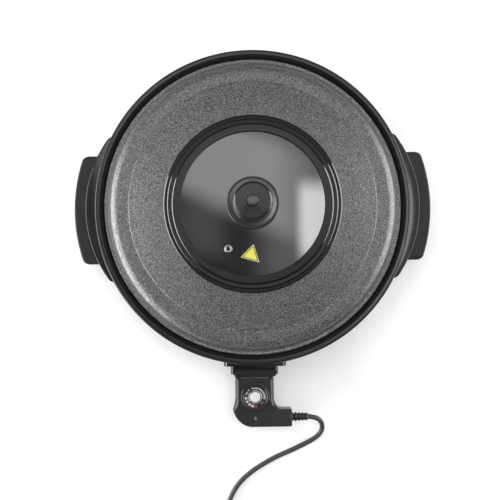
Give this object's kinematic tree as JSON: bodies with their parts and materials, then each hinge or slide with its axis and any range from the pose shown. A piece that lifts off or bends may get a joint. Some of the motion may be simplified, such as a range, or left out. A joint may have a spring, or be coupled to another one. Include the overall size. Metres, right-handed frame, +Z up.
{
  "type": "electric party pan",
  "caption": "Round electric pan with domed glass-window lid, two leg handles and a plug-in dial thermostat on a mains lead.",
  "frame": {"origin": "on the standing surface, under the middle of the appliance without its lead (pan, handles and thermostat together)", "axes": "+X to the user's right, +Y to the back, away from the thermostat, +Z up"},
  "size_m": [0.4814, 0.7326, 0.18],
  "materials": {
    "pan_coating": "satin black non-stick on cast aluminium",
    "lid_coating": "grey hammered stone-effect coating",
    "bakelite": "glossy black moulding",
    "grip_plastic": "satin dark grey moulding",
    "frame_plastic": "glossy black moulding",
    "housing_plastic": "fine satin black moulding",
    "dial_plastic": "black with a white printed scale",
    "cap_white": "white",
    "label_yellow": "yellow with a dark border",
    "lid_window": "smoked toughened glass",
    "lamp_glass": "clear neon lamp",
    "steel": "satin",
    "element_steel": "oxidised sheath",
    "chrome": "polished",
    "brass": "plain",
    "ceramic": "unglazed ceramic",
    "foot_rubber": "matte",
    "relief_rubber": "satin",
    "cord_sheath": "satin dark grey sheath",
    "tie_plastic": "matte",
    "plug_plastic": "fine satin black moulding"
  },
  "bodies": {
    "base": {"pan_body": "pan_coating", "leg_right": "bakelite", "leg_left": "bakelite", "grip_right": "grip_plastic", "grip_left": "grip_plastic", "leg_screws": "steel", "grip_screws": "steel", "foot_1": "foot_rubber", "foot_2": "foot_rubber", "foot_3": "foot_rubber", "foot_4": "foot_rubber", "heating_element": "element_steel", "terminal_pins": "steel", "terminal_beads": "ceramic", "terminal_plate": "steel", "earth_blade": "brass", "probe_sleeve": "steel", "socket_guard": "bakelite", "guard_screws": "steel"},
    "lid": {"lid_shell": "lid_coating", "lid_glass": "lid_window", "glass_frame": "frame_plastic", "glass_clamp": "frame_plastic", "clamp_screws": "steel", "knob_skirt": "bakelite", "knob_grip": "bakelite", "knob_cap": "bakelite", "knob_screw": "steel", "knob_washer": "steel", "vent_grommet": "steel", "warning_label": "label_yellow"},
    "thermostat": {"housing_top": "housing_plastic", "housing_bottom": "housing_plastic", "housing_screws": "steel", "sensing_probe": "steel", "contact_sleeves": "brass", "switch_base": "ceramic", "bimetal_blade": "brass", "pilot_lamp": "lamp_glass", "cord_clamp": "housing_plastic", "strain_relief": "relief_rubber", "power_cord": "cord_sheath", "cord_tail": "cord_sheath", "cord_coil": "cord_sheath", "cord_tie": "tie_plastic", "plug_body": "plug_plastic", "plug_pins": "chrome", "plug_earth": "brass"},
    "dial": {"dial_knob": "dial_plastic", "dial_ring": "chrome", "dial_cap": "cap_white", "dial_shaft": "steel"}
  },
  "joints": [
    {"name": "lid_lift", "type": "slide", "parent": "base", "child": "lid", "axis": [0, 0, 1], "range_m": [0, 0.2]},
    {"name": "thermostat_pull", "type": "slide", "parent": "base", "child": "thermostat", "axis": [0, -1, 0], "range_m": [0, 0.11]},
    {"name": "dial_turn", "type": "hinge", "parent": "thermostat", "child": "dial", "pos_m": [0, -0.21215, 0.047], "axis": [0, 0, 1], "range_deg": [0, 290]}
  ]
}
